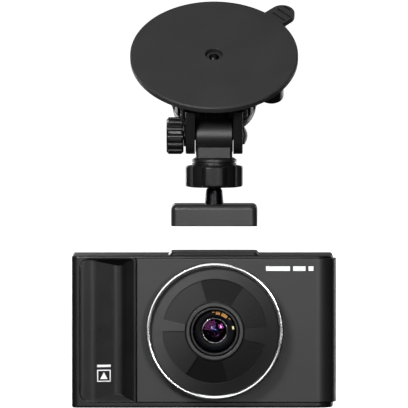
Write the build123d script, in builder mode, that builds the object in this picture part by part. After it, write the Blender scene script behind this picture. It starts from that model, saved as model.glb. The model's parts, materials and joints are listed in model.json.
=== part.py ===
from build123d import *
import os
from math import sin, cos, tan, radians, sqrt, asin, acos, degrees

os.makedirs("parts", exist_ok=True)

# ---------------------------------------------------------------- driving dimensions (mm)
# +X is the user's right seen from the lens side, the lens looks along -Y, +Z is up.
# The origin is the centre of the suction pad's face.

face_tilt = 51.2          # elevation of the pad face's normal above the horizon
pad_r = 27.45
pad_t = 2.2
pad_recess_r = 2.9
pad_boss_r = 6.5
pad_boss_end = 7.0        # depth of the rubber boss that holds the stem
tab_angle = 43.5
tab_tip_r = 35.0
tab_w = 8.2
cup_r = 25.0
cup_t = 3.0
tube_r = 8.8
tube_end = 19.5
stem_r = 1.9
stem_travel = 1.5
ring_in_r = 8.86
ring_out_r = 14.6
ring_d0, ring_d1 = 5.5, 19.3
lever_u, lever_v, lever_r = 18.7, -6.7, 4.0
lever_d1 = 12.4
head_r = 13.8
head_d0, head_d1 = 19.6, 25.4
pivot_depth = 17.1        # pivot axis, behind the pad face
pivot_v = -21.0           # pivot axis, below the stem in the pad's plane
ear_in, ear_out = 6.25, 9.3
ear_r = 6.0
bolt_r = 1.5
bolt_hole_r = 1.6
knob_x0, knob_x1 = -15.5, -9.95
knob_r = 6.05

barrel_r = 5.5
barrel_half = 6.1
ball_z = -40.4
ball_r = 4.5
collar_r = 7.3
socket_r = 7.0
nut_r = 9.3
nut_z0, nut_z1 = -44.2, -37.0
foot_w, foot_dpt = 28.1, 20.0
foot_top, foot_bottom = -49.7, -56.6
foot_wall = 1.6
neck_r = 2.3
stud_tip_r = 3.08

cam_x0, cam_x1 = -46.3, 38.7
cam_z0, cam_z1 = -115.5, -66.0
rim_y = 8.9               # front of the frame around the fascia
fascia_y = 8.6
fascia_t = 1.2
fascia_x1 = 39.7
fascia_z0, fascia_z1 = -113.7, -66.9
seam_x = -25.2            # seam between grip panel and fascia
grip_x0 = -43.8
grip_corner = 3.6
wrap_r = 6.7
split_y = 31.0
rear_y = 33.6
wall = 1.6
lens_x, lens_z = 0.15, -90.3
turret_r = 21.9
turret_y = 3.2
chrome_out, chrome_in = 22.3, 20.9
dish_y_out, dish_y_mid, dish_y_in = 4.2, 3.86, 3.23
dish_mid_r, dish_in_r = 16.9, 9.7
barrel_front_y = 3.1
lens_barrel_r = 7.8
glass_r = 6.8
boss_h = 1.0              # docking boss above the top of the camera
key_x = -40.4
key_zs = {"menu_key": -74.0, "up_key": -82.3, "ok_key": -90.6, "down_key": -98.9, "power_key": -107.2}
case_screw_xz = [(-43.2, -68.6), (36.0, -68.6), (-43.2, -113.0), (36.0, -113.0)]
board_screw_xz = [(-21.5, -71.6), (28.0, -71.6), (-21.5, -109.8), (28.0, -109.8)]
board_y0, board_y1 = 24.6, 25.8

# ---------------------------------------------------------------- working planes and axes
nrm = (0, -cos(radians(face_tilt)), sin(radians(face_tilt)))
up_in_face = (0, sin(radians(face_tilt)), cos(radians(face_tilt)))
pad_plane = Plane(origin=(0, 0, 0), x_dir=(1, 0, 0), z_dir=nrm)
pad_section = Plane(origin=(0, 0, 0), x_dir=(1, 0, 0), z_dir=(0, -nrm[2], nrm[1]))
pad_axis = Axis((0, 0, 0), nrm)
pivot = (0, pivot_v * up_in_face[1] - pivot_depth * nrm[1], pivot_v * up_in_face[2] - pivot_depth * nrm[2])
# the arm, the foot and the camera are drawn about their own datum, which hangs from the pivot
arm_y = 20.64
pivot_local_z = -27.39
datum = Vector(0, pivot[1] - arm_y, pivot[2] - pivot_local_z)
pivot_section = Plane(origin=(0, pivot[1], pivot[2]), x_dir=(1, 0, 0), z_dir=(0, -1, 0))
pivot_axis = Axis((0, pivot[1], pivot[2]), (1, 0, 0))
arm_section = Plane(origin=(0, arm_y + datum.Y, datum.Z), x_dir=(1, 0, 0), z_dir=(0, -1, 0))
arm_axis = Axis((0, arm_y + datum.Y, 0), (0, 0, 1))
lens_section = Plane(origin=(lens_x, datum.Y, lens_z + datum.Z), x_dir=(1, 0, 0), z_dir=(0, 0, 1))
lens_axis = Axis((lens_x, 0, lens_z + datum.Z), (0, 1, 0))


def at_depth(d):
    """plane parallel to the pad face, d behind it, its z towards the windscreen"""
    return pad_plane.offset(-d)


def side_plane(x):
    """plane across X; its y runs along the stem towards the windscreen"""
    return Plane(origin=(x, 0, 0), x_dir=up_in_face, z_dir=(1, 0, 0))


def front_plane(y):
    """plane across Y seen from the lens side; extrudes towards the lens"""
    return Plane(origin=(0, y + datum.Y, datum.Z), x_dir=(1, 0, 0), z_dir=(0, -1, 0))


def lens_plane(y):
    return Plane(origin=(lens_x, y + datum.Y, lens_z + datum.Z), x_dir=(1, 0, 0), z_dir=(0, -1, 0))


def on_dome(apex, edge_r, edge_y, r):
    """point at radius r of the spherical face with its apex on the lens axis and its rim at (edge_r, edge_y)"""
    sag = edge_y - apex
    big = (edge_r**2 + sag**2) / (2 * sag)
    side = 1 if big > 0 else -1
    return (r, apex + big - side * sqrt(big**2 - r**2))


def left_plane(x):
    """plane across X with y to the right and z up"""
    return Plane(origin=(x, datum.Y, datum.Z), x_dir=(0, 1, 0), z_dir=(1, 0, 0))


def level(z):
    """horizontal plane"""
    return Plane(origin=(0, datum.Y, z + datum.Z), x_dir=(1, 0, 0), z_dir=(0, 0, 1))


# ================================================================ suction mount
with BuildPart() as suction_pad:
    with BuildSketch(pad_section):
        with BuildLine():
            Polyline(
                (pad_recess_r, -0.15), (pad_recess_r + 0.15, 0), (pad_r - 0.5, 0), (pad_r, -0.35),
                (pad_r, -pad_t + 0.3), (pad_r - 0.4, -pad_t), (pad_boss_r, -pad_t),
                (pad_boss_r, -pad_boss_end), (stem_r + 0.1, -pad_boss_end), (stem_r + 0.1, -5.9),
                (5.2, -5.9), (5.2, -3.1), (1.7, -3.1), (1.7, -1.3), (pad_recess_r, -1.3),
                close=True,
            )
        make_face()
    revolve(axis=pad_axis)
    # pull tab that breaks the seal
    with BuildSketch(at_depth(0.15)):
        with Locations(Location((0, 0, 0), (0, 0, tab_angle))):
            with Locations((27.6, 0)):
                Rectangle(5.2, tab_w)
            with Locations((tab_tip_r - tab_w / 2, 0)):
                Circle(tab_w / 2)
    extrude(amount=-1.85)
    # grip grooves across the tab
    with BuildSketch(at_depth(0)):
        with Locations(Location((0, 0, 0), (0, 0, tab_angle))):
            with Locations((28.7, -0.6)):
                Rectangle(0.8, 5.6)
            with Locations((31.3, -0.4)):
                Rectangle(0.8, 5.8)
            with Locations((33.7, 0.5)):
                Rectangle(0.7, 3.0)
    extrude(amount=-0.6, mode=Mode.SUBTRACT)

with BuildPart() as cup_housing:
    with BuildSketch(pad_section):
        with BuildLine():
            Polyline(
                (7.2, -pad_t), (cup_r, -pad_t), (cup_r, -pad_t - cup_t + 0.9),
                (cup_r - 1.6, -pad_t - cup_t), (tube_r, -pad_t - cup_t), (tube_r, -tube_end),
                (stem_r + 0.2, -tube_end), (stem_r + 0.2, -12.6), (4.1, -12.6), (4.1, -7.4), (7.2, -7.4),
                close=True,
            )
        make_face()
    revolve(axis=pad_axis)
    # the two ears of the clevis, beside the lock ring
    for ear_plane in (side_plane(ear_in), side_plane(-ear_out)):
        with BuildSketch(ear_plane):
            with Locations((pivot_v, -pivot_depth)):
                Circle(ear_r)
            with BuildLine():
                Polyline(
                    (-24.2, -pad_t - cup_t + 0.4), (pivot_v - ear_r, -pivot_depth + 1.5), (pivot_v - ear_r, -pivot_depth),
                    (pivot_v + ear_r, -pivot_depth), (pivot_v + ear_r, -pad_t - cup_t + 0.4), close=True,
                )
            make_face()
        extrude(amount=ear_out - ear_in)
    ear_rims = cup_housing.edges().filter_by(
        lambda e: abs(abs(e.center().X) - ear_out) < 0.01 and e.center().dot(Vector(*nrm)) < -7
    )
    fillet(ear_rims, 0.5)
    with BuildSketch(side_plane(-ear_out)):
        with Locations((pivot_v, -pivot_depth)):
            Circle(bolt_hole_r)
    extrude(amount=2 * ear_out, mode=Mode.SUBTRACT)
    # axial slots that guide the cross pin
    with BuildSketch(at_depth(14.3)):
        Rectangle(2 * tube_r + 1, 2.1)
    extrude(amount=-3.9, mode=Mode.SUBTRACT)
    with BuildSketch(at_depth(tube_end)):
        with PolarLocations(5.2, 3, start_angle=90):
            Circle(0.85)
    extrude(amount=6.3, mode=Mode.SUBTRACT)

with BuildPart() as pull_stem:
    with BuildSketch(pad_section):
        with BuildLine():
            ThreePointArc((0, -0.55), (0.95, -0.72), (1.6, -1.3))
            Polyline(
                (1.6, -1.3), (1.6, -3.3), (5.0, -3.3), (5.0, -4.2), (stem_r, -4.2), (stem_r, -7.8),
                (3.6, -7.8), (3.6, -8.5), (stem_r, -8.5), (stem_r, -17.2), (stem_r - 0.3, -17.5),
                (0, -17.5), (0, -0.55),
            )
        make_face()
    revolve(axis=pad_axis)
    with BuildSketch(side_plane(-3)):
        with Locations((0, -15.5)):
            Circle(1.0)
    extrude(amount=6, mode=Mode.SUBTRACT)

with BuildPart() as cross_pin:
    with BuildSketch(side_plane(-10.6)):
        with Locations((0, -15.5)):
            Circle(1.0)
    extrude(amount=21.2)
    chamfer(cross_pin.edges().filter_by(GeomType.CIRCLE), 0.2)

with BuildPart() as return_spring:
    spring_foot = (0, -12.2 * nrm[1], -12.2 * nrm[2])
    with BuildLine():
        coil = Helix(pitch=1.1, height=3.3, radius=3.0, center=spring_foot, direction=nrm)
    with BuildSketch(Plane(origin=coil @ 0, z_dir=coil % 0)):
        Circle(0.34)
    sweep(path=coil)

with BuildPart() as lock_ring:
    with BuildSketch(at_depth(ring_d0)):
        Circle(ring_out_r)
    extrude(amount=-(ring_d1 - ring_d0))
    chamfer(lock_ring.edges().filter_by(GeomType.CIRCLE), 0.6)
    with BuildSketch(at_depth(ring_d0)):
        with PolarLocations(ring_out_r + 0.45, 28):
            Circle(0.95)
    extrude(amount=-(ring_d1 - ring_d0), mode=Mode.SUBTRACT)
    # thumb lever
    with BuildSketch(at_depth(ring_d0)):
        with Locations((lever_u, lever_v)):
            Circle(lever_r)
        lever_len = sqrt(lever_u**2 + lever_v**2)
        with Locations(Location((lever_u / 2, lever_v / 2, 0), (0, 0, degrees(asin(lever_v / lever_len))))):
            Rectangle(lever_len, 2 * lever_r - 0.8)
    extrude(amount=-(lever_d1 - ring_d0))
    with BuildSketch(at_depth(ring_d0)):
        Circle(ring_in_r)
    extrude(amount=-(ring_d1 - ring_d0), mode=Mode.SUBTRACT)
    # counterbore in which the cross pin travels
    with BuildSketch(at_depth(14.3)):
        Circle(11.0)
    extrude(amount=-(ring_d1 - 14.3), mode=Mode.SUBTRACT)
    lever_rim = lock_ring.edges().filter_by(GeomType.CIRCLE).filter_by(lambda e: abs(e.radius - lever_r) < 0.01)
    fillet(lever_rim, 0.3)

with BuildPart() as end_cap:
    with BuildSketch(pad_section):
        with BuildLine():
            Polyline(
                (0, -tube_end), (tube_r, -tube_end), (tube_r, -head_d0), (head_r - 0.8, -head_d0),
                (head_r, -head_d0 - 0.8), (head_r, -head_d0 - 2.2),
            )
            ThreePointArc((head_r, -head_d0 - 2.2), (head_r - 1.05, -head_d1 + 1.05), (head_r - 3.6, -head_d1))
            Polyline((head_r - 3.6, -head_d1), (0, -head_d1), (0, -tube_end))
        make_face()
    revolve(axis=pad_axis)
    with BuildSketch(at_depth(head_d1)):
        with PolarLocations(5.2, 3, start_angle=90):
            Circle(0.9)
    extrude(amount=head_d1 - tube_end, mode=Mode.SUBTRACT)
    with BuildSketch(at_depth(head_d1)):
        with PolarLocations(4.45, 3, start_angle=90):
            Circle(0.01)
        with PolarLocations(5.2, 3, start_angle=90):
            Circle(1.03 + 0.6)
    extrude(amount=2.0, mode=Mode.SUBTRACT)

with BuildPart() as housing_screws:
    with BuildSketch(at_depth(head_d1 - 0.6)):
        with PolarLocations(5.2, 3, start_angle=90):
            Circle(1.5)
    extrude(amount=1.4)
    with BuildSketch(at_depth(head_d1 - 2.0)):
        with PolarLocations(5.2, 3, start_angle=90):
            Circle(0.8)
    extrude(amount=9.4)
    with BuildSketch(at_depth(head_d1 - 0.6)):
        with PolarLocations(5.2, 3, start_angle=90):
            Rectangle(1.7, 0.4)
            Rectangle(0.4, 1.7)
    extrude(amount=0.6, mode=Mode.SUBTRACT)

with BuildPart() as pivot_bolt:
    with BuildSketch(pivot_section):
        with BuildLine():
            Polyline((0 + ear_out, 2.9), (ear_out, bolt_r), (-14.2, bolt_r), (-14.4, bolt_r - 0.2), (-14.4, 0), (ear_out + 1.6, 0))
            ThreePointArc((ear_out + 1.6, 0), (ear_out + 1.2, 1.75), (ear_out + 0.5, 2.9))
            Line((ear_out + 0.5, 2.9), (ear_out, 2.9))
        make_face()
    revolve(axis=pivot_axis)

with BuildPart() as pivot_washer:
    with BuildSketch(Plane(origin=(-9.9, pivot[1], pivot[2]), x_dir=(0, 1, 0), z_dir=(1, 0, 0))):
        Circle(3.6)
        Circle(bolt_hole_r, mode=Mode.SUBTRACT)
    extrude(amount=9.9 - ear_out)
    chamfer(pivot_washer.edges().filter_by(lambda e: abs(e.radius - 3.6) < 0.01 if e.geom_type == GeomType.CIRCLE else False), 0.15)

with BuildPart() as tilt_knob:
    with BuildSketch(Plane(origin=(knob_x0, pivot[1], pivot[2]), x_dir=(0, 1, 0), z_dir=(1, 0, 0))):
        Circle(knob_r)
    extrude(amount=knob_x1 - knob_x0)
    chamfer(tilt_knob.edges().filter_by(GeomType.CIRCLE), 0.75)
    with BuildSketch(Plane(origin=(knob_x0, pivot[1], pivot[2]), x_dir=(0, 1, 0), z_dir=(1, 0, 0))):
        with PolarLocations(knob_r + 0.35, 16):
            Circle(0.85)
    extrude(amount=knob_x1 - knob_x0, mode=Mode.SUBTRACT)
    with BuildSketch(Plane(origin=(-14.8, pivot[1], pivot[2]), x_dir=(0, 1, 0), z_dir=(1, 0, 0))):
        Circle(2.6)
    extrude(amount=knob_x1 + 14.8, mode=Mode.SUBTRACT)
    with BuildSketch(Plane(origin=(knob_x0, pivot[1], pivot[2]), x_dir=(0, 1, 0), z_dir=(1, 0, 0))):
        Circle(3.4)
    extrude(amount=0.35, mode=Mode.SUBTRACT)

with BuildPart() as knob_insert:
    with BuildSketch(Plane(origin=(-14.8, pivot[1], pivot[2]), x_dir=(0, 1, 0), z_dir=(1, 0, 0))):
        Circle(2.6)
        Circle(bolt_r + 0.06, mode=Mode.SUBTRACT)
    extrude(amount=knob_x1 + 14.8)

# ================================================================ swinging arm with its ball socket
with BuildPart() as swing_arm:
    with BuildSketch(arm_section):
        with BuildLine():
            Polyline(
                (0, -34.5), (6.3, -34.5), (collar_r, -35.1), (collar_r, -35.9), (collar_r - 0.45, -36.0),
                (collar_r - 0.45, -36.25), (collar_r, -36.35), (collar_r, -36.7), (socket_r, -36.8),
                (socket_r, -41.2), (5.2, -42.8), (0, -42.8), (0, -34.5),
            )
        make_face()
    revolve(axis=arm_axis)
    # neck, slightly waisted below the barrel
    with BuildSketch(level(-34.9)):
        with Locations((0, arm_y)):
            RectangleRounded(11.9, 8.0, 1.2)
    extrude(amount=7.5)
    with BuildSketch(pivot_section):
        with BuildLine():
            Polyline(
                (-barrel_half, 0), (-barrel_half, barrel_r - 0.35), (-barrel_half + 0.35, barrel_r),
                (barrel_half - 0.35, barrel_r), (barrel_half, barrel_r - 0.35), (barrel_half, 0), close=True,
            )
        make_face()
    revolve(axis=pivot_axis)
    with BuildSketch(Plane(origin=(-barrel_half, pivot[1], pivot[2]), x_dir=(0, 1, 0), z_dir=(1, 0, 0))):
        Circle(bolt_r + 0.06)
    extrude(amount=2 * barrel_half, mode=Mode.SUBTRACT)
    # spherical seat: the upper part holds the carriers, the lower part grips the ball
    with BuildSketch(arm_section):
        with BuildLine():
            top_r, grip_r = 5.7, ball_r + 0.1
            step = radians(66)
            mouth = acos(-2.4 / grip_r)
            mid_low = (step + mouth) / 2
            ThreePointArc(
                (0, ball_z + top_r),
                (top_r * sin(step / 2), ball_z + top_r * cos(step / 2)),
                (top_r * sin(step), ball_z + top_r * cos(step)),
            )
            Line(
                (top_r * sin(step), ball_z + top_r * cos(step)),
                (grip_r * sin(step), ball_z + grip_r * cos(step)),
            )
            ThreePointArc(
                (grip_r * sin(step), ball_z + grip_r * cos(step)),
                (grip_r * sin(mid_low), ball_z + grip_r * cos(mid_low)),
                (grip_r * sin(mouth), ball_z + grip_r * cos(mouth)),
            )
            Polyline(
                (grip_r * sin(mouth), ball_z + grip_r * cos(mouth)), (grip_r * sin(mouth), -43.5), (0, -43.5), (0, ball_z + top_r)
            )
        make_face()
    revolve(axis=arm_axis, mode=Mode.SUBTRACT)
    # slits that let the socket close on the ball
    with BuildSketch(level(-43.0)):
        with Locations(Location((0, arm_y, 0), (0, 0, 45)), Location((0, arm_y, 0), (0, 0, 135))):
            Rectangle(16, 0.8)
    extrude(amount=4.4, mode=Mode.SUBTRACT)

with BuildPart() as ring_nut:
    with BuildSketch(level(nut_z0)):
        with Locations((0, arm_y)):
            Circle(8.0)
        with Locations((0, arm_y)):
            RectangleRounded(2 * nut_r, 8.0, 2.6)
            RectangleRounded(8.0, 2 * nut_r, 2.6)
    extrude(amount=nut_z1 - nut_z0)
    # rounded rims, turned over the whole lobed form
    with BuildSketch(arm_section):
        with BuildLine():
            Polyline((0, nut_z1), (7.6, nut_z1), (8.7, nut_z1 - 0.18))
            ThreePointArc((8.7, nut_z1 - 0.18), (9.14, nut_z1 - 0.42), (9.35, nut_z1 - 0.95))
            Line((9.35, nut_z1 - 0.95), (9.35, nut_z0 + 0.95))
            ThreePointArc((9.35, nut_z0 + 0.95), (9.14, nut_z0 + 0.42), (8.7, nut_z0 + 0.18))
            Polyline((8.7, nut_z0 + 0.18), (7.6, nut_z0), (0, nut_z0), (0, nut_z1))
        make_face()
    revolve(axis=arm_axis, mode=Mode.INTERSECT)
    with BuildSketch(arm_section):
        with BuildLine():
            Polyline(
                (0, nut_z1 + 0.5), (7.1, nut_z1 + 0.5), (7.1, -42.0), (4.3, -43.3), (4.15, -43.8),
                (6.6, -43.8), (6.8, nut_z0 - 0.5), (0, nut_z0 - 0.5), (0, nut_z1 + 0.5),
            )
        make_face()
    revolve(axis=arm_axis, mode=Mode.SUBTRACT)

with BuildPart() as ball_cup:
    with BuildSketch(arm_section):
        with BuildLine():
            a = radians(62)
            ThreePointArc((0, ball_z + 5.6), (5.6 * sin(a / 2), ball_z + 5.6 * cos(a / 2)), (5.6 * sin(a), ball_z + 5.6 * cos(a)))
            Line((5.6 * sin(a), ball_z + 5.6 * cos(a)), (5.1 * sin(a), ball_z + 5.1 * cos(a)))
            ThreePointArc((5.1 * sin(a), ball_z + 5.1 * cos(a)), (5.1 * sin(a / 2), ball_z + 5.1 * cos(a / 2)), (0, ball_z + 5.1))
            Line((0, ball_z + 5.1), (0, ball_z + 5.6))
        make_face()
    revolve(axis=arm_axis)

with BuildPart() as ball_liner:
    with BuildSketch(arm_section):
        with BuildLine():
            b = radians(48)
            ThreePointArc((0, ball_z + 5.0), (5.0 * sin(b / 2), ball_z + 5.0 * cos(b / 2)), (5.0 * sin(b), ball_z + 5.0 * cos(b)))
            Line((5.0 * sin(b), ball_z + 5.0 * cos(b)), (4.6 * sin(b), ball_z + 4.6 * cos(b)))
            ThreePointArc((4.6 * sin(b), ball_z + 4.6 * cos(b)), (4.6 * sin(b / 2), ball_z + 4.6 * cos(b / 2)), (0, ball_z + 4.6))
            Line((0, ball_z + 4.6), (0, ball_z + 5.0))
        make_face()
    revolve(axis=arm_axis)

# ================================================================ magnetic foot on the ball stud
with BuildPart() as ball_stud:
    with BuildSketch(arm_section):
        with BuildLine():
            c = radians(180) - asin(neck_r / ball_r)
            neck_top = ball_z + ball_r * cos(c)
            ThreePointArc((0, ball_z + ball_r), (ball_r, ball_z), (neck_r, neck_top))
            Polyline(
                (neck_r, neck_top), (neck_r, -44.7), (2.7, -45.3), (stud_tip_r, foot_top), (stud_tip_r, -51.2),
                (5.5, -51.2), (5.5, -52.2), (2.6, -52.2), (2.6, -53.2), (0.85, -53.2), (0.85, -51.0),
                (0, -51.0), (0, ball_z + ball_r),
            )
        make_face()
    revolve(axis=arm_axis)

with BuildPart() as foot_shell:
    with BuildSketch(level(foot_bottom + 0.3)):
        with Locations((0, arm_y)):
            RectangleRounded(foot_w, foot_dpt, 2.2)
    extrude(amount=foot_top - foot_bottom - 0.3)
    fillet(foot_shell.edges().group_by(Axis.Z)[-1], 1.5)
    with BuildSketch(level(foot_bottom + 0.3)):
        with Locations((0, arm_y)):
            RectangleRounded(foot_w - 2 * foot_wall, foot_dpt - 2 * foot_wall, 1.0)
    extrude(amount=-51.2 - foot_bottom - 0.3, mode=Mode.SUBTRACT)
    with BuildSketch(level(-52)):
        with Locations((0, arm_y)):
            Circle(stud_tip_r + 0.1)
    extrude(amount=4, mode=Mode.SUBTRACT)

with BuildPart() as foot_base_plate:
    with BuildSketch(level(foot_bottom)):
        with Locations((0, arm_y)):
            RectangleRounded(foot_w, foot_dpt, 2.2)
    extrude(amount=0.3)
    with BuildSketch(level(foot_bottom + 0.3)):
        with Locations((0, arm_y)):
            RectangleRounded(foot_w - 2 * foot_wall - 0.3, foot_dpt - 2 * foot_wall - 0.3, 0.9)
    extrude(amount=1.1)
    with BuildSketch(level(foot_bottom + 1.4)):
        with Locations((0, arm_y)):
            Circle(3.5)
    extrude(amount=2.0)
    with BuildSketch(level(foot_bottom)):
        with Locations((0, arm_y)):
            Circle(0.95)
    extrude(amount=4, mode=Mode.SUBTRACT)
    with BuildSketch(level(foot_bottom)):
        with Locations((0, arm_y)):
            Circle(2.1)
    extrude(amount=1.2, mode=Mode.SUBTRACT)

with BuildPart() as foot_magnets:
    with BuildSketch(level(foot_bottom + 1.4)):
        with Locations((-8.2, arm_y), (8.2, arm_y)):
            Circle(3.6)
    extrude(amount=2.0)
    chamfer(foot_magnets.edges().filter_by(GeomType.CIRCLE), 0.15)

with BuildPart() as stud_screw:
    with BuildSketch(level(foot_bottom + 0.1)):
        with Locations((0, arm_y)):
            Circle(1.9)
    extrude(amount=1.1)
    with BuildSketch(level(foot_bottom + 1.2)):
        with Locations((0, arm_y)):
            Circle(0.8)
    extrude(amount=4.1)
    with BuildSketch(level(foot_bottom + 0.1)):
        with Locations((0, arm_y)):
            Rectangle(2.2, 0.45)
            Rectangle(0.45, 2.2)
    extrude(amount=0.6, mode=Mode.SUBTRACT)

# ================================================================ camera case
case_cx, case_cz = (cam_x0 + cam_x1) / 2, (cam_z0 + cam_z1) / 2
case_w, case_h = cam_x1 - cam_x0, cam_z1 - cam_z0

with BuildPart() as front_shell:
    # outer form, drawn in plan: tight round at the grip side, wide round at the other
    with BuildSketch(level(cam_z0)):
        with BuildLine():
            rr = wrap_r - 1.0
            Polyline((cam_x0, split_y), (cam_x0, rim_y + 2.4))
            ThreePointArc(
                (cam_x0, rim_y + 2.4), (cam_x0 + 2.4 * (1 - sqrt(0.5)), rim_y + 2.4 * (1 - sqrt(0.5))), (cam_x0 + 2.4, rim_y)
            )
            Line((cam_x0 + 2.4, rim_y), (cam_x1 - rr, rim_y))
            ThreePointArc(
                (cam_x1 - rr, rim_y), (cam_x1 - rr * (1 - sqrt(0.5)), rim_y + rr * (1 - sqrt(0.5))), (cam_x1, rim_y + rr)
            )
            Polyline((cam_x1, rim_y + rr), (cam_x1, split_y), (cam_x0, split_y))
        make_face()
    extrude(amount=case_h)
    outer_rims = front_shell.edges().group_by(Axis.Z)[-1] + front_shell.edges().group_by(Axis.Z)[0]
    fillet(outer_rims.filter_by(lambda e: e.center().Y < datum.Y + split_y - 0.1), 0.7)
    # bed of the fascia, left open at the right-hand side
    with BuildSketch(level(fascia_z0 - 0.1)):
        with BuildLine():
            ri = wrap_r - fascia_t
            x_turn = fascia_x1 - wrap_r
            Polyline((seam_x, rim_y - 2), (seam_x, fascia_y + fascia_t), (x_turn, fascia_y + fascia_t))
            ThreePointArc(
                (x_turn, fascia_y + fascia_t),
                (x_turn + ri * sqrt(0.5), fascia_y + wrap_r - ri * sqrt(0.5)),
                (x_turn + ri, fascia_y + wrap_r),
            )
            Polyline(
                (x_turn + ri, fascia_y + wrap_r), (x_turn + ri, 15.7), (cam_x1 + 2, 15.7), (cam_x1 + 2, rim_y - 2), (seam_x, rim_y - 2)
            )
        make_face()
    extrude(amount=fascia_z1 - fascia_z0 + 0.2, mode=Mode.SUBTRACT)
    # hollow behind the fascia, and the shallower hollow behind the grip
    with BuildSketch(level(cam_z0 + wall)):
        with BuildLine():
            rc = wrap_r - fascia_t - 1.4
            yb = fascia_y + fascia_t + 1.4
            Polyline((seam_x + 1.5, split_y), (seam_x + 1.5, yb), (x_turn, yb))
            ThreePointArc(
                (x_turn, yb), (x_turn + rc * sqrt(0.5), fascia_y + wrap_r - rc * sqrt(0.5)), (x_turn + rc, fascia_y + wrap_r)
            )
            Polyline((x_turn + rc, fascia_y + wrap_r), (x_turn + rc, split_y), (seam_x + 1.5, split_y))
        make_face()
    extrude(amount=case_h - 2 * wall, mode=Mode.SUBTRACT)
    with BuildSketch(level(cam_z0 + wall)):
        with Locations(((cam_x0 + wall + seam_x + 1.6) / 2, (14.0 + split_y) / 2)):
            Rectangle(seam_x + 1.6 - cam_x0 - wall, split_y - 14.0)
    extrude(amount=case_h - 2 * wall, mode=Mode.SUBTRACT)
    # pocket of the grip panel
    with BuildSketch(front_plane(12.6)):
        with BuildLine():
            gz0, gz1 = fascia_z0 - 0.1, fascia_z1 + 0.1
            gk = grip_corner
            Polyline((seam_x + 0.01, gz0), (seam_x + 0.01, gz1), (grip_x0 + gk, gz1))
            ThreePointArc(
                (grip_x0 + gk, gz1), (grip_x0 + gk * (1 - sqrt(0.5)), gz1 - gk * (1 - sqrt(0.5))), (grip_x0, gz1 - gk)
            )
            Line((grip_x0, gz1 - gk), (grip_x0, gz0 + gk))
            ThreePointArc(
                (grip_x0, gz0 + gk), (grip_x0 + gk * (1 - sqrt(0.5)), gz0 + gk * (1 - sqrt(0.5))), (grip_x0 + gk, gz0)
            )
            Line((grip_x0 + gk, gz0), (seam_x + 0.01, gz0))
        make_face()
    extrude(amount=6, mode=Mode.SUBTRACT)
    # round opening for the lens turret
    with BuildSketch(lens_plane(14)):
        Circle(20.0)
    extrude(amount=6, mode=Mode.SUBTRACT)
    # screw bosses at the corners and standoffs for the main board
    with BuildSketch(front_plane(split_y)):
        with Locations(*case_screw_xz):
            Circle(2.0)
    extrude(amount=split_y - 16.5)
    with BuildSketch(front_plane(board_y0)):
        with Locations(*board_screw_xz):
            Circle(1.8)
    extrude(amount=board_y0 - 11.0)
    with BuildSketch(front_plane(split_y)):
        with Locations(*case_screw_xz):
            Circle(0.85)
    extrude(amount=8.5, mode=Mode.SUBTRACT)
    with BuildSketch(front_plane(board_y0)):
        with Locations(*board_screw_xz):
            Circle(0.7)
    extrude(amount=5.0, mode=Mode.SUBTRACT)
    # seats of the docking magnets in the top wall
    with BuildSketch(level(cam_z1 + 0.5)):
        with Locations((-8, arm_y), (8, arm_y)):
            Circle(4.0)
    extrude(amount=-3, mode=Mode.SUBTRACT)
    # sound slots and microphone hole in the bottom wall
    with BuildSketch(level(cam_z0 - 0.5)):
        with Locations((12.5, 19.0)):
            with GridLocations(2.4, 0, 5, 1):
                SlotOverall(7.0, 1.0, rotation=90)
        with Locations((-12.0, 19.0)):
            Circle(0.5)
    extrude(amount=3, mode=Mode.SUBTRACT)
    # memory card slot with a thumb notch, in the left wall
    with BuildSketch(left_plane(cam_x0 - 1)):
        with Locations((23.4, -90.0)):
            RectangleRounded(1.5, 11.9, 0.4)
    extrude(amount=3, mode=Mode.SUBTRACT)
    with BuildSketch(left_plane(cam_x0 - 1)):
        with Locations((23.4, -90.0)):
            Circle(2.6)
    extrude(amount=1.5, mode=Mode.SUBTRACT)
    # power socket opening in the right wall
    with BuildSketch(left_plane(cam_x1 - 3)):
        with Locations((23.15, -80.0)):
            RectangleRounded(3.4, 8.3, 0.7)
    extrude(amount=5, mode=Mode.SUBTRACT)

with BuildPart() as front_fascia:
    with BuildSketch(level(fascia_z0)):
        with BuildLine():
            x_turn = fascia_x1 - wrap_r
            ri = wrap_r - fascia_t
            yc = fascia_y + wrap_r
            Polyline((seam_x + 0.1, fascia_y + fascia_t), (seam_x + 0.1, fascia_y), (x_turn, fascia_y))
            ThreePointArc((x_turn, fascia_y), (x_turn + wrap_r * sqrt(0.5), yc - wrap_r * sqrt(0.5)), (x_turn + wrap_r, yc))
            Polyline((x_turn + wrap_r, yc), (x_turn + wrap_r, 15.6), (x_turn + ri, 15.6), (x_turn + ri, yc))
            ThreePointArc((x_turn + ri, yc), (x_turn + ri * sqrt(0.5), yc - ri * sqrt(0.5)), (x_turn, fascia_y + fascia_t))
            Line((x_turn, fascia_y + fascia_t), (seam_x + 0.1, fascia_y + fascia_t))
        make_face()
    extrude(amount=fascia_z1 - fascia_z0)
    front_edges = front_fascia.edges().filter_by(
        lambda e: e.center().Y < datum.Y + fascia_y + 0.01
        and (abs(e.center().Z - datum.Z - (fascia_z0 + fascia_z1) / 2) > 5 or e.center().X < 0)
    )
    fillet(front_edges, 0.25)
    with BuildSketch(lens_plane(fascia_y + fascia_t + 0.5)):
        Circle(turret_r + 0.1)
    extrude(amount=3, mode=Mode.SUBTRACT)

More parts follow.
